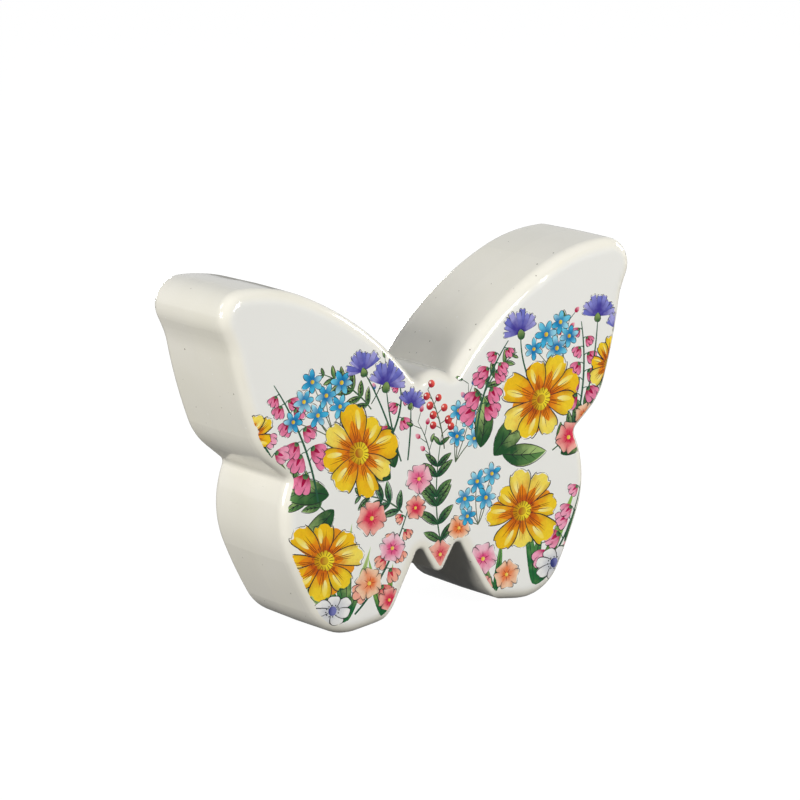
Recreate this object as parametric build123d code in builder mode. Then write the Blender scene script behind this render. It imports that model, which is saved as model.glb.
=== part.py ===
"""Butterfly ornament: a hollow glazed ceramic casting with a printed front and felt feet.

Millimetres. X runs across the wings, Y from the front face (-Y) to the back, Z up.
The origin is on the surface that the ornament stands on, under the middle of its box.
"""
from build123d import *
import os

os.makedirs("parts", exist_ok=True)

# Driving sizes of the casting
wing_span = 189.4
body_height = 137.25
body_depth = 51.0
wall_thickness = 4.5
rim_radius = 5.2
draft_angle = 0.7
# The edges round the tail and between the lobes have a lip that is rounded less than the rim
lip_radius = 1.8

# Radii of the outline's tight corners, seen from the front
crease_radius = 1.4
side_notch_radius = 2.5
tail_notch_radius = 1.8
# The tail's end is rounder than the lip by this much, so that the lip can run round it
tail_land = 1.0

# Feet: a vent hole and two felt pads on each lobe's ground flat
vent_diameter = 6.0
pad_diameter = 7.0
pad_thickness = 0.8
pad_spacing = 27.0
pad_edge_radius = 0.25

# Printed film on the front face, cut this far inside the outline, part way round the rim
film_thickness = 0.15
film_inset = 2.0

# Cuts run this far past what they cut
overrun = 5.0

# Points of the right half of the outline before its corners are rounded, measured from the
# mid plane and the foot plane, as shares of the half span and of the body height
outline_shares = {
    "crown": (0, 0.7011),
    "crease": (0.0868, 0.6822),
    "leading_low": (0.2017, 0.7728),
    "leading_middle": (0.3401, 0.8545),
    "leading_high": (0.5959, 0.9574),
    "wing_tip": (1.0534, 0.9857),
    "neck": (0.9571, 0.8363),
    "edge_middle": (0.9100, 0.6840),
    "shoulder": (0.8407, 0.5397),
    "side_notch": (0.7063, 0.4589),
    "lobe_bulge": (0.7464, 0.3611),
    "lobe_flank": (0.7193, 0.2248),
    "lobe_outer": (0.5388, -0.0177),
    "lobe_inner": (0.2588, 0.0096),
    "tail_notch": (0.0933, 0.2097),
    "tail_tip": (0, 0.1080),
}
# Radii of the outline's long corners: those on a wing's outer edge as shares of the body
# height, and those on a lobe's lower edge as shares of the half span
wing_edge_radius_shares = {"wing_tip": 0.0801, "neck": 0.2186, "shoulder": 0.1821}
lobe_edge_radius_shares = {"lobe_outer": 0.2112, "lobe_inner": 0.1689}

half_span = wing_span / 2
points = {
    name: (x_share * half_span, z_share * body_height)
    for name, (x_share, z_share) in outline_shares.items()
}
rim_corner_radii = {
    "crease": crease_radius,
    "side_notch": side_notch_radius,
    "lobe_outer": lobe_edge_radius_shares["lobe_outer"] * half_span,
}
for corner, radius_share in wing_edge_radius_shares.items():
    rim_corner_radii[corner] = radius_share * body_height
gap_corner_radii = {
    "lobe_inner": lobe_edge_radius_shares["lobe_inner"] * half_span,
    "tail_notch": tail_notch_radius,
    "tail_tip": lip_radius + tail_land,
}

# The foot plane lies on top of the pads. The mould's parting plane faces the front, and is
# set back by half the film, so that the origin is in the middle of the whole depth.
foot_plane = Plane.XY.offset(pad_thickness)
parting_plane = Plane((0, film_thickness / 2, pad_thickness), x_dir=(1, 0, 0), z_dir=(0, -1, 0))


def corner_pair(sketch, name):
    """The sketch's vertices on a named corner and on its mirror image."""
    x, z = points[name]
    sides = {x, -x}
    return [sketch.vertices().sort_by_distance((side, z))[0] for side in sides]


def butterfly_outline(gap_points, radii):
    """The outline, with the gap between its lobes through some points or closed straight across."""
    with BuildSketch(parting_plane) as shape:
        with BuildLine():
            TangentArc(points["crown"], points["crease"], tangent=(1, 0))
            low_edge = ThreePointArc(points["crease"], points["leading_low"], points["leading_middle"])
            high_edge = TangentArc(points["leading_middle"], points["leading_high"], tangent=low_edge % 1)
            TangentArc(points["leading_high"], points["wing_tip"], tangent=high_edge % 1)
            Line(points["wing_tip"], points["neck"])
            ThreePointArc(points["neck"], points["edge_middle"], points["shoulder"])
            Line(points["shoulder"], points["side_notch"])
            bulge = ThreePointArc(points["side_notch"], points["lobe_bulge"], points["lobe_flank"])
            TangentArc(points["lobe_flank"], points["lobe_outer"], tangent=bulge % 1)
            bottom = Polyline(points["lobe_outer"], points["lobe_inner"], *gap_points)
            mirror(about=Plane.YZ)
            if not gap_points:
                Line(bottom @ 1, (-(bottom @ 1).X, (bottom @ 1).Y))
        make_face()
        for corner, corner_radius in radii.items():
            fillet(corner_pair(shape, corner), corner_radius)
    return shape.sketch_local


# The outline, and the same with the gap closed
outline = butterfly_outline(
    [points["tail_notch"], points["tail_tip"]], rim_corner_radii | gap_corner_radii
)
closed_outline = butterfly_outline([], rim_corner_radii)


def rounded_block(shape, edge_radius):
    """A drafted block of one outline, rounded along its front and back edges."""
    with BuildPart() as block:
        with BuildSketch(parting_plane):
            add(shape)
        extrude(amount=body_depth / 2, both=True, taper=draft_angle)
        faces = block.faces().sort_by(Axis.Y)
        fillet(faces[0].edges() + faces[-1].edges(), edge_radius)
    return block.part


# The room between the lobes and round the tail, flared at both ends to leave the lip
with BuildPart() as lobe_gap:
    with BuildSketch(parting_plane):
        gap_width = points["lobe_inner"][0] + points["lobe_outer"][0]
        gap_height = points["tail_notch"][1] + 2 * overrun
        with Locations((0, -overrun)):
            Rectangle(gap_width, gap_height, align=(Align.CENTER, Align.MIN))
    extrude(amount=body_depth, both=True)
    add(rounded_block(outline, lip_radius), mode=Mode.SUBTRACT)

# The casting's outer form as a solid block
with BuildPart() as casting_form:
    add(rounded_block(closed_outline, rim_radius))
    add(lobe_gap.part, mode=Mode.SUBTRACT)

# Hollow casting, ground flat under both lobes, with a vent hole in each foot
with BuildPart() as ceramic_body:
    add(casting_form.part)
    with BuildSketch(parting_plane):
        add(outline)
        offset(amount=-wall_thickness, mode=Mode.REPLACE)
    cavity_half_depth = body_depth / 2 - wall_thickness
    extrude(amount=cavity_half_depth, both=True, taper=draft_angle, mode=Mode.SUBTRACT)
    split(bisect_by=foot_plane, keep=Keep.TOP)
    foot_flats = ceramic_body.faces().sort_by(Axis.Z)[:2].sort_by(Axis.X)
    foot_centres = [flat.center() for flat in foot_flats]
    for foot_centre in foot_centres:
        with Locations(Plane(foot_centre, z_dir=(0, 0, -1))):
            Hole(vent_diameter / 2, depth=wall_thickness + overrun)
ceramic_body.part.label = "ceramic_body"
export_step(ceramic_body.part, "parts/ceramic_body.step")

# Printed film, laid over the front face and part of its rim: the layer that is left between
# the casting's form and the same form moved forward
with BuildPart() as floral_transfer:
    with Locations((0, -film_thickness, 0)):
        add(casting_form.part)
    with BuildSketch(parting_plane):
        add(outline)
        offset(amount=-film_inset, mode=Mode.REPLACE)
    extrude(amount=body_depth, mode=Mode.INTERSECT)
    add(casting_form.part, mode=Mode.SUBTRACT)
floral_transfer.part.label = "floral_transfer"
export_step(floral_transfer.part, "parts/floral_transfer.step")

# Felt pads, two in line under each lobe, one each side of its vent hole
for side, foot_centre in zip(("left", "right"), foot_centres):
    for end, pad_shift in (("front", -pad_spacing / 2), ("rear", pad_spacing / 2)):
        with BuildPart() as foot_pad:
            with BuildSketch(Plane.XY):
                with Locations((foot_centre.X, foot_centre.Y + pad_shift)):
                    Circle(pad_diameter / 2)
            extrude(amount=pad_thickness)
            fillet(foot_pad.faces().sort_by(Axis.Z)[0].edges(), pad_edge_radius)
        foot_pad.part.label = f"foot_pad_{side}_{end}"
        export_step(foot_pad.part, f"parts/foot_pad_{side}_{end}.step")
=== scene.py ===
# %% [markdown]
# # A glazed ceramic butterfly with a printed face
#
# The ornament is one hollow slip casting. It is dipped in a cream gloss glaze, and a printed
# transfer is fired onto its front. Four felt pads sit under its two lower lobes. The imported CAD
# model holds the shape, so this script adds what the eye reads as "china": the glaze, the print
# with its brush marks, the felt, and the soft light of a product photograph.

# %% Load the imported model
import math
import random
import bmesh
import bpy
import numpy as np
from mathutils import Matrix, Vector, geometry
from mathutils.bvhtree import BVHTree


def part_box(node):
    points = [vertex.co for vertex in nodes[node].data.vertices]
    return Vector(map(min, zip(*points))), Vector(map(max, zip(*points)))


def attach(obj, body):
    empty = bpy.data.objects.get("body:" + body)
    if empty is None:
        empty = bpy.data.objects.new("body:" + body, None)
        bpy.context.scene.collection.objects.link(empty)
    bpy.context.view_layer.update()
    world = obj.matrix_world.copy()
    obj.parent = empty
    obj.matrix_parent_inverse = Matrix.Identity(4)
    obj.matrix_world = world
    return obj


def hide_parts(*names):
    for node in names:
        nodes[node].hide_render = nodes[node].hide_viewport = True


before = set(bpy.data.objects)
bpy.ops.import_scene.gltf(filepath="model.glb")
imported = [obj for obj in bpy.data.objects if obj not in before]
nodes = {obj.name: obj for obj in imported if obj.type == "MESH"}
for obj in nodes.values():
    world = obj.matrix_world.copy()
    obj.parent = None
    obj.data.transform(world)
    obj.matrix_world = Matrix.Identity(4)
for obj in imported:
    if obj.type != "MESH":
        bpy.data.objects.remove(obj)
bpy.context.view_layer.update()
MM = 0.001
print("nodes:", ", ".join(sorted(nodes)))

# %% [markdown]
# ## Colours and nodes
#
# A maker notes a colour as the hex value that a screen shows, but Blender mixes light, so each
# value is turned to linear once. Materials are small networks. One helper adds a node, sets its
# values and plugs in its links, which keeps every network readable from top to bottom.

# %% A colour helper and a node helper
def linear(hex_colour):
    """An sRGB hex colour as linear RGBA."""
    channels = [int(hex_colour[i:i + 2], 16) / 255 for i in (0, 2, 4)]
    return [c / 12.92 if c <= 0.04045 else ((c + 0.055) / 1.055) ** 2.4 for c in channels] + [1.0]


def add_node(tree, kind, inputs=None, **settings):
    """Add a node: settings by name, inputs as values, sockets or nodes (their first output)."""
    node = tree.nodes.new("ShaderNode" + kind)
    for name, value in settings.items():
        setattr(node, name, value)
    for name, value in (inputs or {}).items():
        if isinstance(value, bpy.types.Node):
            value = value.outputs[0]
        if isinstance(value, bpy.types.NodeSocket):
            tree.links.new(value, node.inputs[name])
        else:
            node.inputs[name].default_value = value
    return node


def new_material(name):
    """A new material and its node tree, which is empty."""
    material = bpy.data.materials.new(name)
    material.use_nodes = True
    material.node_tree.nodes.clear()
    return material, material.node_tree


print("cream f0ede3 in linear light:", [round(c, 3) for c in linear("f0ede3")])

# %% [markdown]
# ## Camera
#
# Product photographs of small china are taken from a step back with a long lens, which keeps both
# wings nearly the same size. The camera stands 35 degrees to the left of the front and 13 degrees
# above it, and is rolled a little over one degree. The frame is shifted, so that the ornament sits
# right of and below the middle without the camera turning away from it.

# %% Camera
# The camera aims at the casting's front face, a little below half its height
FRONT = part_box("ceramic_body")[0][1]
AIM = Vector((0.0, FRONT, 0.0655))
CAMERA_AZIMUTH = math.radians(-34.70)
CAMERA_ELEVATION = math.radians(12.61)
CAMERA_ROLL = math.radians(1.296)
CAMERA_DISTANCE = 1.615
# The frame is this many pixels wide, and one pixel spans this much at the ornament
FRAME_PIXELS = 800
PIXEL_SPAN = 0.3807 * MM
# The aim shows up this many pixels right of and below the frame's middle
SHIFT_RIGHT, SHIFT_DOWN = 37.7, 51.1


def direction(azimuth, elevation):
    """The unit vector from the ornament towards a place: azimuth 0 is in front of it."""
    flat = math.cos(elevation)
    return Vector((math.sin(azimuth) * flat, -math.cos(azimuth) * flat, math.sin(elevation)))


towards_camera = direction(CAMERA_AZIMUTH, CAMERA_ELEVATION)
lens_data = bpy.data.cameras.new("camera")
lens_data.sensor_width = 36.0
lens_data.lens = lens_data.sensor_width * CAMERA_DISTANCE / (FRAME_PIXELS * PIXEL_SPAN)
lens_data.shift_x = -SHIFT_RIGHT / FRAME_PIXELS
lens_data.shift_y = SHIFT_DOWN / FRAME_PIXELS
camera = bpy.data.objects.new("camera", lens_data)
turn = (-towards_camera).to_track_quat("-Z", "Y").to_matrix()
turn = turn @ Matrix.Rotation(-CAMERA_ROLL, 3, "Z")
camera.matrix_world = Matrix.Translation(AIM + towards_camera * CAMERA_DISTANCE) @ turn.to_4x4()
bpy.context.scene.collection.objects.link(camera)
bpy.context.scene.camera = camera
bpy.context.scene.view_settings.view_transform = "Standard"
print("lens %.1f mm at %.3f m" % (lens_data.lens, CAMERA_DISTANCE))

# %% [markdown]
# ## Softboxes
#
# White china on white needs light that is broad and soft, yet not the same from all sides, or the
# form goes flat. One softbox stands in front, and a second lights the side that faces left. Weaker
# ones from the right, the back and high on the left keep the far walls from going dull. The two on
# the left stand further off, because light falls off less across the wings from there.

# %% Softboxes
LAMP_WHITE = "fffdf8"


def softbox(name, azimuth, elevation, watts, size=(0.42, 0.42), distance=1.4):
    """A rectangular area light that faces the aim, from angles in degrees and sizes in metres."""
    lamp = bpy.data.lights.new(name, "AREA")
    lamp.shape = "RECTANGLE"
    lamp.size, lamp.size_y = size
    lamp.energy = watts
    lamp.color = linear(LAMP_WHITE)[:3]
    holder = bpy.data.objects.new(name, lamp)
    away = direction(math.radians(azimuth), math.radians(elevation))
    facing = away.to_track_quat("Z", "Y").to_matrix().to_4x4()
    holder.matrix_world = Matrix.Translation(AIM + away * distance) @ facing
    bpy.context.scene.collection.objects.link(holder)


softbox("front_softbox", 10, 17, 14.0, size=(0.28, 0.46))
softbox("left_softbox", -84, 14, 32.5, size=(0.66, 0.66), distance=2.2)
softbox("right_softbox", 90, 19, 11.5)
softbox("high_left_softbox", -110, 40, 8.8, size=(0.66, 0.66), distance=2.2)
softbox("back_softbox", 168, 5, 12.0)

# %% [markdown]
# ## Room and floor
#
# The room adds little light of its own, so the undersides fall off into shade. The floor is matt
# card. A white background made by more light would bleach the china, so instead the room and the
# card ask what kind of ray is looking. The camera sees white paper, glossy surfaces mirror a part
# of it, and the ornament still shades the card.

# %% Room light and floor
ROOM_FILL = 0.18
# The shares of the white backdrop that a glossy surface mirrors
MIRRORED_ROOM = 0.6
MIRRORED_FLOOR = 0.12
FLOOR_WHITE = 0.985
# The card is dark in itself, in linear light, so that it sends hardly any light up
CARD_GREY = (0.06, 0.06, 0.06, 1)
FLOOR_REACH = 6.0
# The card lies a hair under the pads, so that the two faces don't flicker through each other
FLOOR_DROP = 0.02 * MM


def backdrop_seen(tree, mirrored_share):
    """The kinds of ray, and how much white backdrop one sees: all for the camera, a share for gloss."""
    rays = add_node(tree, "LightPath")
    mirrored = add_node(tree, "Math", {0: rays.outputs["Is Glossy Ray"], 1: mirrored_share},
                        operation="MULTIPLY")
    seen = add_node(tree, "Math", {0: rays.outputs["Is Camera Ray"], 1: mirrored}, operation="MAXIMUM")
    return rays, seen


world = bpy.data.worlds.new("pale_room")
bpy.context.scene.world = world
world.use_nodes = True
room = world.node_tree
room.nodes.clear()
rays, seen = backdrop_seen(room, MIRRORED_ROOM)
seen = add_node(room, "Math", {0: seen, 1: rays.outputs["Is Transmission Ray"]}, operation="MAXIMUM")
fill = add_node(room, "Background", {"Color": linear("dbe6fb"), "Strength": ROOM_FILL})
paper = add_node(room, "Background", {"Color": linear("ffffff"), "Strength": 1.0})
both = add_node(room, "MixShader", {0: seen, 1: fill, 2: paper})
add_node(room, "OutputWorld", {"Surface": both})

floor_material, tree = new_material("white_card_floor")
_, seen = backdrop_seen(tree, MIRRORED_FLOOR)
lift = add_node(tree, "Math", {0: seen, 1: FLOOR_WHITE}, operation="MULTIPLY")
card = add_node(tree, "BsdfDiffuse", {"Color": CARD_GREY})
glow = add_node(tree, "Emission", {"Color": linear("ffffff"), "Strength": lift})
floor_look = add_node(tree, "AddShader", {0: card, 1: glow})
add_node(tree, "OutputMaterial", {"Surface": floor_look})

floor_mesh = bpy.data.meshes.new("floor")
floor_corners = [(x * FLOOR_REACH, y * FLOOR_REACH, -FLOOR_DROP)
                 for x, y in ((-1, -1), (1, -1), (1, 1), (-1, 1))]
floor_mesh.from_pydata(floor_corners, [], [(0, 1, 2, 3)])
floor_mesh.materials.append(floor_material)
floor = bpy.data.objects.new("floor", floor_mesh)
bpy.context.scene.collection.objects.link(floor)
print("floor: %.0f m of white card" % (2 * FLOOR_REACH))

# %% [markdown]
# ## Cream gloss glaze
#
# The body is earthenware under a cream gloss glaze, dipped and fired. Such a glaze is a thin
# glass: an index near 1.5, a very smooth surface, and a colour that comes from the clay under it.
# The eye reads it by its long soft highlights, which waver where the glaze ran while it melted, by
# a faint unevenness of tone where it lies thicker, and by pinholes, the small pits that gas leaves
# as it escapes from the clay. The feet are ground flat after firing, which bares the matt biscuit.

# %% Patterns in the glaze
RUN_SPAN = 22 * MM
PEEL_SPAN = 3.2 * MM


def glaze_relief(tree, place):
    """The glaze's surface: long waves from the melt and the fine ripple of orange peel."""
    run = add_node(tree, "TexNoise", {"Vector": place, "Scale": 1 / RUN_SPAN, "Detail": 1.0})
    peel = add_node(tree, "TexNoise", {"Vector": place, "Scale": 1 / PEEL_SPAN, "Detail": 1.0})
    waves = add_node(tree, "Bump", {"Height": run, "Strength": 1.0, "Distance": 0.22 * MM})
    return add_node(tree, "Bump", {"Height": peel, "Strength": 1.0, "Distance": 0.006 * MM,
                                   "Normal": waves})


def specks(tree, place, cell, size, share):
    """A mask of round specks, in a share of the cells, with a radius of about size times a cell."""
    spots = add_node(tree, "TexVoronoi", {"Vector": place, "Scale": 1 / cell, "Randomness": 1.0})
    luck = add_node(tree, "SeparateColor", {"Color": spots.outputs["Color"]})
    chosen = add_node(tree, "Math", {0: luck.outputs[0], 1: share}, operation="LESS_THAN")
    radius = add_node(tree, "Math", {0: luck.outputs[1], 1: size, 2: size * 0.5},
                      operation="MULTIPLY_ADD")
    near = add_node(tree, "Math", {0: spots.outputs["Distance"], 1: radius}, operation="DIVIDE")
    soft = add_node(tree, "MapRange", {0: near, 1: 1.0, 2: 0.55}, interpolation_type="SMOOTHSTEP")
    return add_node(tree, "Math", {0: soft, 1: chosen}, operation="MULTIPLY")


print("waves every %.0f mm, peel every %.1f mm" % (RUN_SPAN / MM, PEEL_SPAN / MM))

# %% Glaze
GLOSS = 0.11
FOOT_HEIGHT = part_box("foot_pad_left_front")[1][2]

glaze_material, tree = new_material("cream_gloss_glaze_on_earthenware")
place = add_node(tree, "TexCoord").outputs["Object"]
tone = add_node(tree, "TexNoise", {"Vector": place, "Scale": 1 / (30 * MM), "Detail": 3.0})
tone = add_node(tree, "MapRange", {0: tone, 1: 0.3, 2: 0.7})
body = add_node(tree, "Mix", {0: tone, 6: linear("ece9dc"), 7: linear("f0ede3")}, data_type="RGBA")
# Pinholes are about half a millimetre wide and lie some fifteen millimetres apart
pits = specks(tree, place, 4.6 * MM, 0.062, 0.75)
pale = specks(tree, place, 5.3 * MM, 0.075, 0.6)
with_pale = add_node(tree, "Mix", {0: pale, 6: body.outputs[2], 7: linear("f7f5ee")}, data_type="RGBA")
pitted = add_node(tree, "Mix", {0: pits, 6: with_pale.outputs[2], 7: linear("7a705f")}, data_type="RGBA")
# The ground flats end at the pads' tops, and the bare clay goes up a hair past their edge
height = add_node(tree, "SeparateXYZ", {"Vector": place})
bare = add_node(tree, "MapRange", {0: height.outputs[2], 1: FOOT_HEIGHT + 0.10 * MM,
                                   2: FOOT_HEIGHT + 0.04 * MM})
grit = add_node(tree, "TexNoise", {"Vector": place, "Scale": 1 / (0.5 * MM), "Detail": 3.0})
biscuit = add_node(tree, "Mix", {0: grit, 6: linear("c9b99c"), 7: linear("e2d7c1")}, data_type="RGBA")
skin = add_node(tree, "Mix", {0: bare, 6: pitted.outputs[2], 7: biscuit.outputs[2]}, data_type="RGBA")
matt = add_node(tree, "MapRange", {0: bare, 3: GLOSS, 4: 0.9})
pit_relief = add_node(tree, "Bump", {"Height": pits, "Strength": 1.0, "Distance": 0.05 * MM,
                                     "Normal": glaze_relief(tree, place)}, invert=True)
bsdf = add_node(tree, "BsdfPrincipled", {"Base Color": skin.outputs[2], "Roughness": matt, "IOR": 1.5,
                                         "Normal": pit_relief})
add_node(tree, "OutputMaterial", {"Surface": bsdf})
nodes["ceramic_body"].material_slots[0].material = glaze_material
print("glaze: %d nodes, bare clay below %.2f mm" % (len(tree.nodes), FOOT_HEIGHT / MM + 0.1))

# %% [markdown]
# ## Felt pads
#
# The pads are punched from wool felt. Felt has no weave: its fibres lie every way, so it is matt
# all over, a little fuzzy in the light along its edge, and mottled. Its fibres are some hundredths
# of a millimetre thick, too fine to show, so the mottle is drawn as coarse as a small tuft of them.

# %% Felt
felt_material, tree = new_material("off_white_wool_felt")
place = add_node(tree, "TexCoord").outputs["Object"]
fibres = add_node(tree, "TexNoise", {"Vector": place, "Scale": 1 / (0.25 * MM), "Detail": 6.0,
                                     "Distortion": 1.2})
clumps = add_node(tree, "TexNoise", {"Vector": place, "Scale": 1 / (1.4 * MM), "Detail": 2.0})
mottle = add_node(tree, "Math", {0: fibres, 1: clumps}, operation="MULTIPLY")
mottle = add_node(tree, "MapRange", {0: mottle, 1: 0.12, 2: 0.42})
wool = add_node(tree, "Mix", {0: mottle, 6: linear("b9b4a6"), 7: linear("dedacf")}, data_type="RGBA")
nap = add_node(tree, "Bump", {"Height": fibres, "Strength": 1.0, "Distance": 0.12 * MM})
bsdf = add_node(tree, "BsdfPrincipled", {"Base Color": wool.outputs[2], "Roughness": 1.0,
                                         "Sheen Weight": 0.35, "Specular IOR Level": 0.15,
                                         "Normal": nap})
add_node(tree, "OutputMaterial", {"Surface": bsdf})
pads = [node for name, node in nodes.items() if name.startswith("foot_pad")]
for pad in pads:
    pad.material_slots[0].material = felt_material
print("felt on %d pads" % len(pads))

# %% [markdown]
# ## The printed sheet: outline and depth
#
# A transfer is printed flat, soaked off its paper and slid onto the glazed face, where it is
# rubbed down and wraps part of the way round the rim. It could be painted onto the casting's own
# mesh, but then its drawing would be as coarse as that mesh. So the sheet is a thin skin of its
# own. It is drawn flat, in millimetres across and up the face, and each point is then pressed
# back onto the film of the CAD model, which gives its depth and its normal.

# %% The film's surface
film = nodes["floral_transfer"].data
corner_normals = np.array([corner.vector for corner in film.corner_normals])
film.calc_loop_triangles()
triangle_corners = np.array([list(triangle.loops) for triangle in film.loop_triangles])
film_points = np.array([vertex.co for vertex in film.vertices])
triangle_points = film_points[np.array([list(triangle.vertices) for triangle in film.loop_triangles])]
# The outer side is what looks forward, and the film's back and its cut edge don't
outward = [i for i, triangle in enumerate(film.loop_triangles) if triangle.normal.y < -0.5]
film_tree = BVHTree.FromPolygons(
    [tuple(point) for i in outward for point in triangle_points[i]],
    [(3 * k, 3 * k + 1, 3 * k + 2) for k in range(len(outward))])
print("film: %d triangles, %d of them on its outer side" % (len(film.loop_triangles), len(outward)))

# %% The film's outline
# The outline's points are no further apart than this, in millimetres
EDGE_STEP = 1.2


def rim_loop(sides):
    """The loop of those sides, each a pair of corners, that no neighbour uses the other way."""
    follow = {a: b for a, b in sides if (b, a) not in sides}
    loop = [next(iter(follow))]
    while follow[loop[-1]] != loop[0]:
        loop.append(follow[loop[-1]])
    return loop


def film_edge():
    """The film's outline, anticlockwise from the front, as points in millimetres."""
    sides = {}
    for i in outward:
        a, b, c = (tuple(round(v, 3) for v in point) for point in triangle_points[i] / MM)
        sides.update(dict.fromkeys(((a, b), (b, c), (c, a))))
    return np.array([(x, z) for x, _, z in rim_loop(sides)])


def evened(loop, spacing):
    """The closed loop with points no further apart than the spacing."""
    points = []
    for a, b in zip(loop, np.roll(loop, -1, 0)):
        parts = max(1, math.ceil(np.linalg.norm(b - a) / spacing))
        points += [a + (b - a) * k / parts for k in range(parts)]
    return np.array(points)


edge = evened(film_edge(), EDGE_STEP)
along_edge = np.roll(edge, -1, 0) - np.roll(edge, 1, 0)
inward = np.stack([-along_edge[:, 1], along_edge[:, 0]], 1)
inward /= np.linalg.norm(inward, axis=1)[:, None]
print("film outline: %d points, %.0f mm wide" % (len(edge), np.ptp(edge[:, 0])))

# %% Where a flat point lies on the film
# In metres: rays start well in front of the film, and a walk to its nearest point near its face
RAY_START = -0.05
WALK_START = -0.025
WALK_STEPS = 10


def from_edge(points):
    """Each point's distance from the film's edge, in millimetres."""
    start, run = edge, np.roll(edge, -1, 0) - edge
    square = (run ** 2).sum(1)
    nearest = np.full(len(points), np.inf)
    for a, r, s in zip(start, run, square):
        part = np.clip(((points - a) @ r) / s, 0, 1)
        nearest = np.minimum(nearest, np.linalg.norm(points - a - part[:, None] * r, axis=1))
    return nearest


def inside(loop, points):
    """Which of the points lie inside a closed loop, by the even-odd rule."""
    within = np.zeros(len(points), bool)
    x, z = points[:, 0], points[:, 1]
    for (x0, z0), (x1, z1) in zip(loop, np.roll(loop, -1, 0)):
        if z0 != z1:
            crosses = (z0 > z) != (z1 > z)
            within ^= crosses & (x < (x1 - x0) * (z - z0) / (z1 - z0) + x0)
    return within


def press(points):
    """The film's outer surface and its normal under each flat point, in metres."""
    places, normals = [], []
    for x, z in points:
        hit, _, index, _ = film_tree.ray_cast(Vector((x * MM, RAY_START, z * MM)), Vector((0, 1, 0)))
        if hit is None:
            # A ray at the very edge can slip past the film, so the nearest point is walked to
            hit = Vector((x * MM, WALK_START, z * MM))
            for _ in range(WALK_STEPS):
                hit, _, index, _ = film_tree.find_nearest(Vector((x * MM, hit.y, z * MM)))
        i = outward[index]
        a, b, c = triangle_points[i]
        shares = np.linalg.solve(np.array([b - a, c - a, np.cross(b - a, c - a)]).T, np.array(hit) - a)
        weights = np.array([1 - shares[0] - shares[1], shares[0], shares[1]])
        normal = weights @ corner_normals[triangle_corners[i]]
        places.append((x * MM, hit.y, z * MM))
        normals.append(normal / np.linalg.norm(normal))
    return np.array(places), np.array(normals)


edge_places, _ = press(edge)
print("the rim takes the film's edge %.1f mm back" % ((edge_places[:, 1].mean() - FRONT) / MM))

# %% [markdown]
# ## Brush and pen
#
# Everything on the sheet is one of two marks. A wash is a closed brush shape with its own axis:
# it starts in one colour, ends in another, and pigment gathers along its rims as it dries. A pen
# line is a thin ribbon that swells and tapers. Both are plain outlines here, kept in the order in
# which they are laid, and the print's shader does the flowing of colour later. One seeded hand
# makes every choice, so the meadow comes out the same each time.

# %% Petal shapes
marks = []
hand = random.Random(11)
INK = "262a2e"


def unit_petal(base_power, tip_power, points, notch=0.0, teeth=0.0, bow=0.0, ripple=0.0):
    """A petal from (0, 0) to (1, 0) whose half-width is 1 at its widest, whole, notched or toothed."""
    turn = np.arange(points) * 2 * math.pi / points
    u = (1 - np.cos(turn)) / 2
    widest = base_power / (base_power + tip_power)
    full = widest ** base_power * (1 - widest) ** tip_power
    half = np.clip(u, 1e-9, 1) ** base_power * np.clip(1 - u, 1e-9, 1) ** tip_power / full
    half *= 1 + ripple * np.sin(turn * 5 + hand.uniform(0, 6))
    v = half * np.sign(np.sin(turn))
    # A notch is one broad dip at the tip, and two narrow dips beside it leave three teeth
    dips = sum(np.exp(-((turn - math.pi + aside) / 0.15) ** 2) for aside in (-0.36, 0.36))
    reach = u * (1 - notch * np.exp(-((turn - math.pi) / 0.45) ** 2) - teeth * dips)
    return np.stack([reach, v + bow * 4 * u * (1 - u)], 1)


def unit(angle):
    """The unit vector at an angle on the sheet."""
    return np.array([math.cos(math.radians(angle)), math.sin(math.radians(angle))])


def rotation(angle):
    """The matrix that turns by an angle on the sheet."""
    c, s = unit(angle)
    return np.array([[c, -s], [s, c]])


def frame_of(angle, length, width, squash=1.0, squash_angle=0.0):
    """The matrix that lays a unit petal on the sheet, seen flat or tipped away."""
    petal = rotation(angle) @ np.diag([length, width / 2])
    turn = rotation(squash_angle)
    return turn @ np.diag([squash, 1.0]) @ turn.T @ petal


print("ink %s in linear light:" % INK, [round(c, 3) for c in linear(INK)])

# %% Washes and pen lines
# A pen line strays from its wash by up to this much, in millimetres
STRAY = 0.28


def wash(outline, matrix, origin, base, tip, bow=0.0, paint=1.0, plain=False):
    """Lay a closed brush shape; paint is how far its colour flows, and plain is a single colour."""
    marks.append({"loop": outline @ matrix.T + np.array(origin), "inverse": np.linalg.inv(matrix),
                  "origin": np.array(origin), "bow": bow, "base": base, "tip": tip, "paint": paint,
                  "plain": plain})


def pen(path, width, colour=INK, ends=(0.25, 0.25), paint=0.3):
    """Lay a ribbon along a path; ends give the share of the width left at its start and finish."""
    path = np.array(path, float)
    run = np.gradient(path, axis=0)
    side = np.stack([-run[:, 1], run[:, 0]], 1)
    side /= np.maximum(np.linalg.norm(side, axis=1), 1e-9)[:, None]
    t = np.linspace(0, 1, len(path))
    swell = ends[0] + (ends[1] - ends[0]) * t + np.sin(math.pi * t) ** 0.7 * (1 - (ends[0] + ends[1]) / 2)
    half = (width / 2 * swell)[:, None] * side
    loop = np.concatenate([path + half, (path - half)[::-1]])
    wash(loop, np.eye(2), (0, 0), colour, colour, paint=paint, plain=True)


def curve(start, towards, end, points=9):
    """A quadratic curve from start to end, drawn towards a middle point."""
    t = np.linspace(0, 1, points)[:, None]
    start, towards, end = np.array(start), np.array(towards), np.array(end)
    return (1 - t) ** 2 * start + 2 * t * (1 - t) * towards + t ** 2 * end


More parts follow.
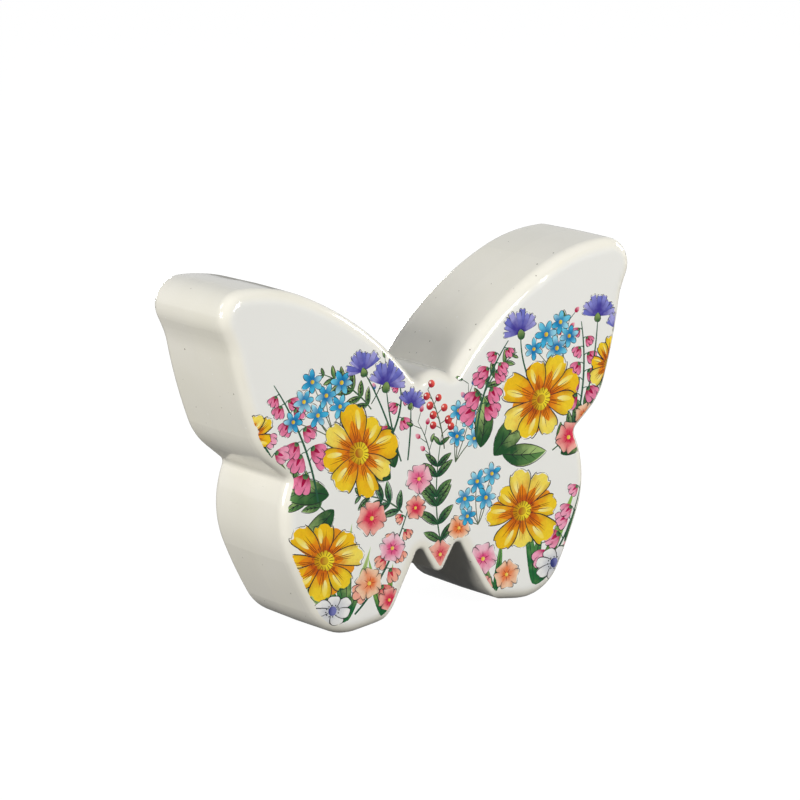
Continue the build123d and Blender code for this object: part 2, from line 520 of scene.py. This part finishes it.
def inked(outline, matrix, origin, first, last, width, points, grow=1.03):
    """Pen lines round both sides of a petal, not quite on its wash."""
    loop = outline @ (matrix * grow).T + np.array(origin)
    count = len(loop)
    shift = np.array([hand.uniform(-STRAY, STRAY), hand.uniform(-STRAY, STRAY)])
    for low, high in ((first, last), (2 - first, 2 - last)):
        where = np.linspace(low, high, points) * count / 2 % count
        index = where.astype(int)
        part = (where - index)[:, None]
        path = loop[index] * (1 - part) + loop[(index + 1) % count] * part
        pen(path + shift, width * hand.uniform(0.75, 1.15))

# %% [markdown]
# ## Flowers, leaves and sprigs
#
# The print is a loose watercolour meadow of made-up plants: golden toothed blooms, hanging bells,
# violet tufts, blue stars, small notched blossoms, white blooms, berries, fronds, tendrils and
# blades. Each kind is one function built from washes and pen lines, with a little of the hand in
# it, so that no two come out alike. Sizes are in millimetres and angles in degrees.

# %% Touches, leaves and stems
def dot(place, size, base, tip, paint=1.0, turn=0.0):
    """A round touch of the brush, centred on its place."""
    matrix = frame_of(turn, size, size)
    wash(unit_petal(0.5, 0.5, 12), matrix, np.array(place) - matrix @ (0.5, 0), base, tip, paint=paint)


def leaf(place, angle, length, width, base="24552f", tip="a9c77c", bow=0.25, rib=True):
    """A leaf with a shaded half, an inked rib with side veins, and an inked edge."""
    matrix = frame_of(angle, length, width)
    outline = unit_petal(0.75, 0.95, 26, bow=bow)
    wash(outline, matrix, place, base, tip, bow=bow)
    shade = outline.copy()
    spine = bow * 4 * shade[:, 0] * (1 - shade[:, 0])
    one_half = np.minimum if hand.random() < 0.5 else np.maximum
    shade[:, 1] = one_half(shade[:, 1], spine)
    wash(shade * (0.98, 0.93), matrix, place, base, "5c8a4c", bow=bow)
    inked(outline, matrix, place, 0.2, 0.97, 0.36, 9, 1.01)
    if rib:
        u = np.linspace(0, 0.88, 8)
        pen(np.stack([u, bow * 4 * u * (1 - u)], 1) @ matrix.T + np.array(place), 0.4)
        for k in range(3):
            for side in (-1, 1):
                v = np.array([0.22 + 0.2 * k, 0.32 + 0.2 * k, 0.4 + 0.2 * k])
                out = np.array([0, 0.3, 0.55]) * side
                vein = np.stack([v, bow * 4 * v * (1 - v) + out], 1)
                pen(vein @ matrix.T + np.array(place), 0.24, ends=(0.9, 0.2))


def stem(start, towards, end, width, colour="2f5d45"):
    """A green brush line; returns its path."""
    path = curve(start, towards, end, 13)
    pen(path, width, colour, (0.9, 0.45), paint=1.0)
    return path

# %% [markdown]
# ### Golden blooms
#
# The golden blooms are the largest things on the print, so they carry the most marks: darker
# petals behind, eight petals in front with toothed tips, a flame of orange and a gleam on each,
# fine veins, and a mound of stamens. One tilt in every matrix tips a whole bloom away.

# %% Golden blooms
def golden_bloom(place, radius, turn, *tilt):
    """An open bloom of wedge-shaped petals round a mound of stamens; tilt is a squash and its angle."""
    place = np.array(place, float)
    for k in range(5):
        reach = radius * hand.uniform(0.72, 0.86)
        behind = frame_of(turn + 72 * k + hand.uniform(10, 30), reach, reach * 0.4, *tilt)
        wash(unit_petal(1.0, 0.4, 20), behind, place, "b9460f", "ef9a1a")
    # Taking every third petal lays neighbours over each other in both ways
    petals = 8
    for k in sorted(range(petals), key=lambda k: k * 3 % petals):
        angle = turn + 360 / petals * k + hand.uniform(-8, 8)
        reach = radius * hand.uniform(0.84, 1.1)
        outline = unit_petal(1.05, 0.34, 44, teeth=0.1, ripple=0.04)
        matrix = frame_of(angle, reach, reach * hand.uniform(0.5, 0.62), *tilt)
        wash(outline, matrix, place, "e8760f", hand.choice(["fbd62c", "f9c81c", "fde660"]))
        side = hand.choice((-1, 1))
        flame = frame_of(angle + 4 * side, reach * hand.uniform(0.5, 0.7), reach * 0.27, *tilt)
        wash(unit_petal(0.7, 0.9, 18), flame, place, "b93a0c", "f08c14")
        gleam = frame_of(angle - 5 * side, reach * 0.42, reach * 0.13, *tilt)
        wash(unit_petal(0.7, 0.6, 14), gleam, place + matrix @ (0.46, -0.3 * side), "fef09a", "fee45a",
             paint=0.5)
        inked(outline, matrix, place, 0.25, 0.99, 0.44, 13)
        for lean in (-0.4, 0.08, 0.45):
            u = np.linspace(0.28, hand.uniform(0.6, 0.86), 6)
            vein = np.stack([u, lean * u * hand.uniform(0.6, 1.1)], 1) @ matrix.T + place
            pen(vein, 0.26, "8a3f10", (0.8, 0.1))
    heart = frame_of(0, radius * 0.48, radius * 0.48, *tilt)
    wash(unit_petal(0.5, 0.5, 24, ripple=0.06), heart, place - heart @ (0.5, 0), "c98a0e", "fbe534")
    core = frame_of(0, radius * 0.2, radius * 0.2, *tilt)
    wash(unit_petal(0.5, 0.5, 14), core, place - core @ (0.5, 0), "b5651a", "d9b02a")
    tips = frame_of(0, 1, 2, *tilt)
    stamens = 17
    for k in range(stamens):
        spoke = unit(360 / stamens * k + hand.uniform(-6, 6))
        inner, outer = spoke * radius * 0.13, spoke * radius * hand.uniform(0.22, 0.31)
        pen([place + tips @ (inner + (outer - inner) * s) for s in (0, 0.5, 1)], 0.26,
            "6b3a10", (0.8, 0.6))
        dot(place + tips @ outer, 0.9, "8f3a0e", "c9661a")

# %% [markdown]
# ### Bells and tufts
#
# A bell spray is an arched stem whose bells shrink towards its end. A bell hangs, so its axis lies
# between the way that it leaves the stem and straight down. A violet tuft fans nine narrow
# petals out of a green cup, and the middle one lies on top.

# %% Bells and tufts
def bell(place, angle, size, base, tip):
    """One hanging bell with a scalloped hem and a green cap."""
    for lean, grow in ((-27, 0.98), (27, 0.98), (0, 1.04)):
        hem = frame_of(angle + lean, size * grow, size * 0.5)
        outline = unit_petal(0.8, 0.42, 18)
        wash(outline, hem, place, base, tip)
        inked(outline, hem, place, 0.55, 0.98, 0.34, 6)
    cup = frame_of(angle, size * 0.7, size * 0.56)
    wash(unit_petal(0.5, 0.55, 18), cup, place, base, tip)
    streak = frame_of(angle + hand.uniform(-9, 9), size * 0.66, size * 0.2)
    wash(unit_petal(0.6, 0.8, 12), streak, place, "8c0c3a", base)
    cap = frame_of(angle, size * 0.26, size * 0.34)
    wash(unit_petal(0.5, 0.6, 12), cap, place, "1f4f33", "5f8b57")


def bell_spray(start, towards, end, count, size, hues=("b80a48", "f287ae")):
    """Bells that hang from an arched stem, smaller towards its end."""
    path = stem(start, towards, end, 0.85)
    run = path[-1] - path[0]
    for k in range(count):
        t = 0.28 + 0.7 * k / (count - 1)
        at = path[int(t * (len(path) - 1))]
        side = -1 if k % 2 else 1
        lean = math.degrees(math.atan2(run[1], run[0])) + side * hand.uniform(62, 96)
        grow = size * (1.12 - 0.62 * t)
        neck = at + grow * 0.35 * (unit(lean) + (0, 0.25))
        pen([at, (at + neck) / 2 + (0, 0.25), neck], 0.4, "2f5d45", (0.9, 0.8))
        down = -90 if lean < 90 else 270
        bell(neck, lean * 0.45 + down * 0.55, grow, *hues)


def violet_tuft(place, angle, size, foot, towards):
    """A tuft of slender notched petals over a green cup, on a stem from its foot."""
    stem(foot, towards, place, 0.7)
    for lean in (-74, 74, -56, 56, -38, 38, -20, 20, 0):
        reach = size * hand.uniform(0.86, 1.08)
        matrix = frame_of(angle + lean + hand.uniform(-4, 4), reach, reach * 0.27)
        outline = unit_petal(1.1, 0.4, 18, notch=0.14)
        wash(outline, matrix, place, "43389a", hand.choice(["8d8fdc", "7479cf", "a9a8e6"]))
        inked(outline, matrix, place, 0.6, 0.98, 0.28, 5)
    cup = frame_of(angle, size * 0.42, size * 0.34)
    outline = unit_petal(0.5, 0.7, 18)
    base = np.array(place) - cup @ (0.62, 0)
    wash(outline, cup, base, "37603a", "86a35c")
    inked(outline, cup, base, 0.1, 0.9, 0.3, 6)

# %% [markdown]
# ### Stars, blossoms and white blooms
#
# Small flowers fill the gaps between the large ones. They are made alike, from petals laid round
# a middle. The white blooms are nearly bare, as a painter leaves the paper, so the pen draws them.

# %% Stars, blossoms and white blooms
def blue_star(place, radius, turn):
    """A six-pointed blossom with an ochre eye."""
    for k in range(6):
        sway = hand.uniform(-6, 6)
        reach = radius * hand.uniform(0.92, 1.08)
        matrix = frame_of(turn + 60 * k + sway, reach, radius * 0.52)
        outline = unit_petal(0.75, 0.62, 16)
        wash(outline, matrix, place, "0f74b4", hand.choice(["6fd0ee", "45b9e4", "9fe0f4"]))
        inked(outline, matrix, place, 0.5, 0.99, 0.3, 5)
    dot(place, radius * 0.36, "caa12c", "f2d84a")


def star_sprig(root, places, radius):
    """Blue stars on fine branching stalks."""
    for place in places:
        middle = (np.array(root) + place) / 2 + (hand.uniform(-3, 3), hand.uniform(-1, 3))
        pen(curve(root, middle, place), 0.42, "5c6a52", (0.9, 0.5))
    for place in places:
        blue_star(place, radius * hand.uniform(0.85, 1.12), hand.uniform(0, 60))


def blossom(place, radius, turn, base, tip, eye="c2253c"):
    """A small flat blossom of five notched petals."""
    for k in range(5):
        sway = hand.uniform(-5, 5)
        reach = radius * hand.uniform(0.93, 1.06)
        matrix = frame_of(turn + 72 * k + sway, reach, radius * 0.98)
        outline = unit_petal(1.0, 0.34, 20, notch=0.17)
        wash(outline, matrix, place, base, tip)
        inked(outline, matrix, place, 0.45, 0.97, 0.32, 7)
    for k in range(5):
        tick = unit(turn + 72 * k) * radius
        pen([np.array(place) + tick * s for s in (0.12, 0.28, 0.44)], 0.3, eye, (0.9, 0.2))
    dot(place, radius * 0.26, "f3c53a", "f9e27a")


def pale_bloom(place, radius, turn):
    """A white bloom that is mostly pen line, with a blue heart, tipped back a little."""
    petals, tilt = 7, (0.7, 90.0)
    for k in range(petals):
        matrix = frame_of(turn + 360 / petals * k, radius * hand.uniform(0.9, 1.08), radius * 0.66, *tilt)
        outline = unit_petal(0.85, 0.45, 22, notch=0.06)
        wash(outline, matrix, place, "c3c6cf", "f4f4f2", paint=0.6)
        inked(outline, matrix, place, 0.2, 0.98, 0.36, 9)
    dot(place, radius * 0.42, "39407e", "7b7fc0")
    stamens = 12
    for k in range(stamens):
        spoke = unit(360 / stamens * k) * (1, 0.75) * radius
        dot(np.array(place) + spoke * 0.33, 0.6, INK, INK)

# %% [markdown]
# ### Fronds, tendrils, berries and blades
#
# The green parts carry the eye from one flower to the next. A frond is a stem with leaves in
# pairs. A tendril is a wiry pen line with buds. A grass blade is one long wash with a pen line.

# %% Fronds, tendrils, berries and blades
def frond(start, towards, end, pairs, size, base="41703c", tip="8fb06a"):
    """A frond with leaflets in pairs."""
    path = stem(start, towards, end, 0.6, "46694a")
    for k in range(pairs):
        t = 0.16 + 0.8 * k / (pairs - 1)
        i = int(t * (len(path) - 1))
        run = path[i + 1] - path[i]
        heading = math.degrees(math.atan2(run[1], run[0]))
        grow = size * math.sin(math.pi * (0.22 + 0.68 * t)) ** 0.8
        for side in (-1, 1):
            leaf(path[i], heading + side * hand.uniform(42, 56), grow * hand.uniform(0.9, 1.1), grow * 0.34,
                 base, tip, bow=-0.2 * side, rib=grow > 6)


def tendril(start, angle, length, buds, hue="b80a48"):
    """A fine wiry stalk with side shoots that end in buds and small leaves."""
    c, s = unit(angle)
    end = np.array(start) + length * np.array([c, s])
    middle = (np.array(start) + end) / 2 + length * 0.12 * np.array([-s, c]) * hand.choice((-1, 1))
    path = curve(start, middle, end, 13)
    pen(path, 0.42, "2f4a35", (0.9, 0.4), paint=0.6)
    for k in range(buds):
        at = path[int((0.25 + 0.75 * k / (buds - 1)) * (len(path) - 1))]
        heading = angle + (-1) ** k * hand.uniform(28, 48)
        shoot = length * hand.uniform(0.16, 0.24)
        tip = at + shoot * unit(heading)
        pen([at, (at + tip) / 2, tip], 0.32, "2f4a35", (0.9, 0.7), paint=0.6)
        if k % 3 == 1:
            leaf(tip, heading, length * 0.2, length * 0.075, rib=False)
        else:
            bud = frame_of(heading, 2.7, 2.0)
            wash(unit_petal(0.6, 0.8, 12), bud, tip, hue, "f7a6b8")


def berry_sprig(start, towards, end, count, size):
    """Round berries on short stalks, each with a pale spot for its shine."""
    path = stem(start, towards, end, 0.55, "4b5a3c")
    for k in range(count):
        i = int((0.3 + 0.7 * k / (count - 1)) * (len(path) - 1))
        side = (-1) ** k
        place = path[i] + (side * hand.uniform(2.6, 4.4) * (1 - 0.5 * k / count), hand.uniform(0.8, 2.6))
        pen([path[i], (path[i] + place) / 2 + (0, 0.3), place], 0.36, "4b5a3c", (0.9, 0.8))
        dot(place, size * hand.uniform(0.85, 1.1), "a3122f", "ee5a4e", turn=hand.uniform(0, 90))
        dot(place + (-0.55, 0.6), size * 0.24, "fbe3dc", "fbe3dc", paint=0)


def blades(root, reaches):
    """Grass blades from one root, each given as its angle, length, width and bow."""
    for angle, length, width, bow in reaches:
        matrix = frame_of(angle, length, width)
        outline = unit_petal(0.45, 1.1, 24, bow=bow)
        tip = hand.choice(["8fbf54", "6fa95a", "b4cf7e"])
        wash(outline, matrix, root, "1f6b3a", tip, bow=bow)
        u = np.linspace(0.05, 0.8, 8)
        pen(np.stack([u, bow * 4 * u * (1 - u)], 1) @ matrix.T + np.array(root), 0.3)

# %% [markdown]
# ## The planting
#
# The plants grow up from the lobes and thin out towards the wings' upper edges, which stay white.
# Places are in millimetres across the face from its middle and up from the feet. What is laid
# first lies behind: blades, fronds and leaves, then sprays, then the large flowers.

# %% Colours of the meadow, each from the heart of a wash to its tip
PINK = ("cf1f66", "f9aac6")
CORAL = ("d8324e", "fbb39c")
SAGE = ("4c7a45", "a9c17a")
SEA_GREEN = ("2b6143", "8fb98a")
DEEP_GREEN = ("1f5636", "7fa563")
MOSS = ("2d5f42", "98b57a")
SKY = "1a6fae"
# Blossoms have a third colour, for the ticks round their eye, where it isn't crimson
SALMON = ("e02f55", "fab6a8")
WARM_SALMON = ("e02f55", "f9b9a6")
ROSE = ("e8508a", "fbd0dd", "a01848")
DEEP_ROSE = ("e8508a", "fbc6d2", "a01848")
APRICOT = ("ef7a3a", "fbd2b0", "b8362c")

# %% Plant the left wing and lobe
blades((-44, 6), [(118, 44, 5.0, 0.5), (103, 32, 3.8, -0.4), (84, 38, 4.4, 0.35), (137, 26, 4.0, 0.5),
                  (66, 30, 3.6, -0.3)])
blades((-27, 5), [(104, 25, 3.4, 0.3), (76, 21, 3.0, -0.35)])
frond((-52, 50), (-64, 62), (-89, 72), 7, 10.5)
frond((-30, 86), (-38, 97), (-53, 103), 6, 7.5, *SAGE)
frond((-17, 44), (-24, 52), (-38, 54), 5, 9.0, *SEA_GREEN)
leaf((-50, 56), 172, 23, 10, bow=-0.2)
leaf((-48, 50), 214, 19, 8.5, bow=0.2)
leaf((-22, 58), 146, 21, 9.5, bow=-0.2)
leaf((-20, 62), 100, 18, 7.5, bow=0.2)
leaf((-62, 20), 118, 20, 8, bow=0.2)
tendril((-58, 14), 128, 20, 6)
tendril((-30, 88), 62, 15, 5, SKY)
tendril((-78, 80), 150, 14, 5)
bell_spray((-55, 54), (-58, 78), (-73, 101), 11, 8.6)
bell_spray((-70, 64), (-76, 78), (-87, 92), 7, 7.2, PINK)
bell_spray((-40, 8), (-24, 20), (-14, 46), 9, 7.6, CORAL)
bell_spray((-24, 70), (-14, 84), (-17, 94), 5, 6.0)
star_sprig((-46, 76), [(-54, 87), (-60, 93), (-50, 94), (-65, 86), (-56, 100), (-44, 89), (-43, 98)], 4.8)
violet_tuft((-23, 94), 74, 10.5, (-17, 64), (-22, 78))
violet_tuft((-33, 101), 105, 9.0, (-20, 72), (-26, 90))
violet_tuft((-12, 85), 62, 7.0, (-14, 64), (-12, 76))
golden_bloom((-84, 82), 11.5, 25, 0.82, 130)
golden_bloom((-36, 70), 19.5, 12, 0.88, 40)
golden_bloom((-53, 31), 19.0, 40, 0.84, 70)
blossom((-31, 44), 6.8, 10, *SALMON)
blossom((-22, 31), 6.0, 40, *ROSE)
blossom((-33, 19), 6.4, 0, *APRICOT)
blossom((-24, 11), 5.0, 24, *SALMON)
pale_bloom((-50, 11), 9.0, 30)
print("left wing and lobe: %d marks" % len(marks))

# %% Plant the middle
frond((1, 27), (-4, 46), (2, 72), 7, 10.5, *DEEP_GREEN)
berry_sprig((3, 66), (2, 78), (-4, 90), 9, 3.4)
tendril((-3, 60), 108, 19, 6)
star_sprig((8, 60), [(9, 70), (15, 76), (10, 80), (17, 68)], 4.2)
blossom((-9, 56), 6.2, 20, *DEEP_ROSE)
blossom((-11, 45), 4.8, 44, *WARM_SALMON)
blossom((0, 25), 5.8, 54, *WARM_SALMON)
blossom((9, 34), 5.4, 8, *APRICOT)
print("with the middle: %d marks" % len(marks))

# %% Plant the right wing and lobe
blades((44, 6), [(60, 42, 5.0, -0.45), (78, 30, 3.8, 0.4), (98, 35, 4.4, -0.35), (40, 28, 4.0, -0.5)])
blades((25, 5), [(80, 24, 3.2, -0.3), (108, 20, 3.0, 0.35)])
frond((54, 58), (70, 66), (88, 88), 9, 10.0, *MOSS)
frond((20, 80), (24, 92), (38, 99), 5, 7.0, *SAGE)
leaf((26, 60), 38, 24, 10.5, bow=0.2)
leaf((20, 64), 84, 20, 8.5, bow=-0.2)
leaf((30, 60), 355, 21, 9, bow=-0.2)
leaf((58, 56), 20, 18, 8, bow=0.2)
leaf((60, 18), 62, 20, 8, bow=-0.2)
tendril((56, 12), 50, 18, 6)
tendril((60, 92), 78, 17, 6)
tendril((18, 72), 100, 18, 5, SKY)
bell_spray((18, 68), (20, 88), (34, 104), 10, 8.2)
bell_spray((46, 10), (63, 20), (70, 50), 10, 8.8, PINK)
bell_spray((66, 68), (72, 86), (69, 107), 9, 7.4)
star_sprig((56, 84), [(57, 98), (63, 102), (52, 104), (59, 108), (46, 99)], 4.8)
violet_tuft((40, 106), 100, 10.0, (46, 82), (39, 95))
violet_tuft((77, 108), 84, 9.0, (72, 80), (76, 94))
violet_tuft((86, 102), 70, 7.0, (76, 80), (84, 92))
star_sprig((18, 34), [(12, 45), (18, 51), (25, 53), (13, 38), (22, 44)], 4.6)
golden_bloom((49, 79), 19.5, 20, 0.88, 130)
golden_bloom((39, 36), 18.5, 0, 0.86, 100)
golden_bloom((82, 88), 11.5, 30, 0.82, 20)
blossom((20, 20), 6.8, 18, *ROSE)
blossom((31, 12), 6.0, 50, *APRICOT)
blossom((20, 9), 4.6, 12, *SALMON)
blossom((62, 62), 6.6, 5, *SALMON)
blossom((70, 70), 5.0, 33, *APRICOT)
pale_bloom((54, 13), 9.5, 10)
print("marks on the sheet: %d washes and pen lines" % len(marks))

# %% [markdown]
# ## From drawing to sheet
#
# Thousands of overlapping marks could be stacked as separate decals, but stacked skins flicker and
# leak. Instead all outlines go into one constrained triangulation, which cuts the sheet along
# every mark. Each triangle then belongs to the last mark laid over it. The sheet stays a single
# closed skin, and every colour edge is a real edge of the mesh. Rows of extra points follow the
# rim, so that the sheet can bend with it.

# %% Cut the sheet along its marks
# How far the rows of points lie inside the film's edge, in millimetres
ROWS = (0.45, 1.0, 1.6, 2.3, 3.2, 4.4)
rim_points = np.concatenate([edge + inward * row for row in ROWS])


def cut(loops, extra):
    """The triangulation of some closed loops and loose points, as points and triangles."""
    points, edges = [], []
    for loop in loops:
        first = len(points)
        points += [tuple(p) for p in loop]
        edges += [(first + k, first + (k + 1) % len(loop)) for k in range(len(loop))]
    points += [tuple(p) for p in extra]
    flat = [Vector(p) for p in points]
    made = geometry.delaunay_2d_cdt(flat, edges, [], 0, 1e-4, False)
    return np.array([tuple(p) for p in made[0]]), np.array([list(f) for f in made[2]])


def signed_areas(corners):
    """The area of each triangle, negative where its corners run clockwise."""
    first, second = corners[:, 1] - corners[:, 0], corners[:, 2] - corners[:, 0]
    return (first[:, 0] * second[:, 1] - first[:, 1] * second[:, 0]) / 2


flat, triangles = cut([edge] + [mark["loop"] for mark in marks], rim_points)
middles = flat[triangles].mean(1)
keep = inside(edge, middles)
triangles, middles = triangles[keep], middles[keep]
areas = signed_areas(flat[triangles])
triangles[areas < 0] = triangles[areas < 0][:, ::-1]
owner = np.full(len(triangles), -1)
for number, mark in enumerate(marks):
    low, high = mark["loop"].min(0), mark["loop"].max(0)
    near = np.flatnonzero(((middles > low) & (middles < high)).all(1))
    owner[near[inside(mark["loop"], middles[near])]] = number
painted = np.abs(areas[owner >= 0]).sum() / np.abs(areas).sum()
print("sheet: %d triangles, %.0f%% of its area painted" % (len(triangles), 100 * painted))

# %% [markdown]
# ### Pressing and closing
#
# The flat sheet is pressed back onto the rounded face, and gets a coarser back and a thin wall
# round its edge, because a maker's mesh has no open edges. A decal's edge sinks into the glaze in
# the firing. Here the sheet's last millimetre dips just under the casting's surface in the same
# way, or its edge would stand clear of the casting's facets and show as a dashed line.

# %% Press the sheet onto the casting and close it
# In millimetres: how wide the dip is, how deep the edge sinks and how deep the back lies, both
# measured from the film's outer side
FEATHER = 1.2
SUNK = 0.19
BACK = 0.205

used, triangles = np.unique(triangles, return_inverse=True)
triangles = triangles.reshape(-1, 3)
front = flat[used]
sides = set()
for a, b, c in triangles.tolist():
    sides.update(((a, b), (b, c), (c, a)))
ring = rim_loop(sides)
depth_in = from_edge(front)
places, normals = press(front)
ease = np.clip(depth_in / FEATHER, 0, 1)
sink = SUNK * (1 - ease * ease * (3 - 2 * ease)) * MM
outer = places - normals * sink[:, None]

# The back is cut from the same outline, and needs no marks
back_flat, back_triangles = cut([front[ring]], rim_points)
keep = inside(front[ring], back_flat[back_triangles].mean(1))
back_used, back_triangles = np.unique(back_triangles[keep], return_inverse=True)
back_triangles = back_triangles.reshape(-1, 3)
back_front = back_flat[back_used]
back_places, back_normals = press(back_front)
inner = back_places - back_normals * BACK * MM
turned = signed_areas(back_front[back_triangles]) > 0
back_triangles[turned] = back_triangles[turned][:, ::-1]

# A wall of two triangles stands between each pair of outer points and their twins on the back
count = len(outer)
twin = [count + int(np.argmin(((back_front - front[k]) ** 2).sum(1))) for k in ring]
walls = []
for k in range(len(ring)):
    a, b = ring[k], ring[(k + 1) % len(ring)]
    c, d = twin[(k + 1) % len(ring)], twin[k]
    walls += [(b, a, d), (b, d, c)]
faces = np.concatenate([triangles, back_triangles + count, np.array(walls)])
sheet_mesh = bpy.data.meshes.new("printed_sheet")
sheet_mesh.from_pydata(np.concatenate([outer, inner]).tolist(), [], faces.tolist())
sheet_mesh.shade_smooth()
check = bmesh.new()
check.from_mesh(sheet_mesh)
print("sheet mesh: %d points, %d faces, %d open edges" % (
    len(sheet_mesh.vertices), len(sheet_mesh.polygons), sum(not e.is_manifold for e in check.edges)))
check.free()

# %% [markdown]
# ### Colours and flow on the mesh
#
# A shader can't know which mark it is on, so the mesh tells it. Each corner of each triangle
# carries its mark's two colours, and a flow: how far along the mark it lies, how far aside, and how
# much the colour may run. Bare ground runs from cream at the rim to white further in.

# %% Give every triangle its mark's colours
GROUND_BASE, GROUND_TIP = "eeebdf", "f4f4f0"
corner_front = front[triangles]
base = np.tile(linear(GROUND_BASE), (len(faces), 3, 1))
tip = np.tile(linear(GROUND_TIP), (len(faces), 3, 1))
flow = np.zeros((len(faces), 3, 3))
flow[:len(triangles), :, 0] = np.clip(depth_in / ROWS[-1], 0, 1)[triangles]
for number, mark in enumerate(marks):
    mine = np.flatnonzero(owner == number)
    base[mine], tip[mine] = linear(mark["base"]), linear(mark["tip"])
    flow[mine, :, 2] = mark["paint"]
    local = (corner_front[mine] - mark["origin"]) @ mark["inverse"].T
    u = local[:, :, 0]
    flow[mine, :, 0] = 0 if mark["plain"] else u
    flow[mine, :, 1] = 0 if mark["plain"] else local[:, :, 1] - mark["bow"] * 4 * u * (1 - u)
for name, kind, data in (("wash_base", "FLOAT_COLOR", base), ("wash_tip", "FLOAT_COLOR", tip),
                         ("wash_flow", "FLOAT_VECTOR", flow)):
    layer = sheet_mesh.attributes.new(name, kind, "CORNER")
    layer.data.foreach_set("color" if kind == "FLOAT_COLOR" else "vector",
                           data.astype(np.float32).ravel())
print("stored on the mesh:", ", ".join(layer.name for layer in sheet_mesh.attributes
                                       if layer.name.startswith("wash")))

# %% The sheet takes the film's normals and its place
loop_normals = np.zeros((len(faces), 3, 3))
loop_normals[:len(triangles)] = normals[triangles]
loop_normals[len(triangles):len(triangles) + len(back_triangles)] = -back_normals[back_triangles]
sheet_mesh.normals_split_custom_set(loop_normals.reshape(-1, 3).tolist())
sheet = bpy.data.objects.new("floral_print", sheet_mesh)
bpy.context.scene.collection.objects.link(sheet)
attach(sheet, "root")
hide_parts("floral_transfer")
print("the sheet is %.1f mm wide" % (sheet.dimensions.x / MM))

# %% [markdown]
# ## Transfer print under gloss glaze
#
# Ceramic colours are metal oxides in a flux, screened onto the transfer and fired into the glaze,
# so the print is as glossy as the bare glaze. What makes it read as watercolour is the flow:
# each wash goes from its first colour to its second along its axis, wavers, gathers along its
# rims, and is a little grainy. The marks' own coordinates, stored on the mesh, drive all of it.

# %% Print
# What multiplies a wash's colour where its pigment gathers, in linear light
PIGMENT = (0.30, 0.22, 0.22, 1)

# The colour wavers over about 4 mm, and its grain is drawn at 0.7 mm, as coarse as it shows
print_material, tree = new_material("transfer_print_under_gloss_glaze")
first = add_node(tree, "Attribute", attribute_name="wash_base").outputs["Color"]
second = add_node(tree, "Attribute", attribute_name="wash_tip").outputs["Color"]
flow_out = add_node(tree, "Attribute", attribute_name="wash_flow").outputs["Vector"]
parts = add_node(tree, "SeparateXYZ", {"Vector": flow_out})
place = add_node(tree, "TexCoord").outputs["Object"]
blot = add_node(tree, "TexNoise", {"Vector": place, "Scale": 1 / (4 * MM), "Detail": 3.0})
waver = add_node(tree, "Math", {0: blot, 1: 0.5}, operation="SUBTRACT")
waver = add_node(tree, "Math", {0: waver, 1: parts.outputs[2]}, operation="MULTIPLY")
along = add_node(tree, "Math", {0: waver, 1: 0.9, 2: parts.outputs[0]}, operation="MULTIPLY_ADD")
share = add_node(tree, "MapRange", {0: along, 1: 0.08, 2: 0.85}, interpolation_type="SMOOTHSTEP")
colour = add_node(tree, "Mix", {0: share, 6: first, 7: second}, data_type="RGBA")
# Pigment gathers towards a wash's rims, and is a little grainy all over
rim = add_node(tree, "Math", {0: parts.outputs[1]}, operation="ABSOLUTE")
rim = add_node(tree, "MapRange", {0: rim, 1: 0.55, 2: 1.0, 4: 0.30}, interpolation_type="SMOOTHSTEP")
grain = add_node(tree, "TexNoise", {"Vector": place, "Scale": 1 / (0.7 * MM), "Detail": 2.0})
grain = add_node(tree, "MapRange", {0: grain, 1: 0.35, 2: 0.75, 4: 0.14})
dark = add_node(tree, "Math", {0: rim, 1: grain}, operation="ADD")
dark = add_node(tree, "Math", {0: dark, 1: parts.outputs[2]}, operation="MULTIPLY")
pooled = add_node(tree, "Mix", {0: dark, 6: colour.outputs[2], 7: PIGMENT},
                  data_type="RGBA", blend_type="MULTIPLY")
bsdf = add_node(tree, "BsdfPrincipled", {"Base Color": pooled.outputs[2], "Roughness": GLOSS, "IOR": 1.5,
                                         "Normal": glaze_relief(tree, place)})
add_node(tree, "OutputMaterial", {"Surface": bsdf})
sheet_mesh.materials.append(print_material)
print("print: %d nodes, roughness %.2f like the glaze" % (len(tree.nodes), GLOSS))
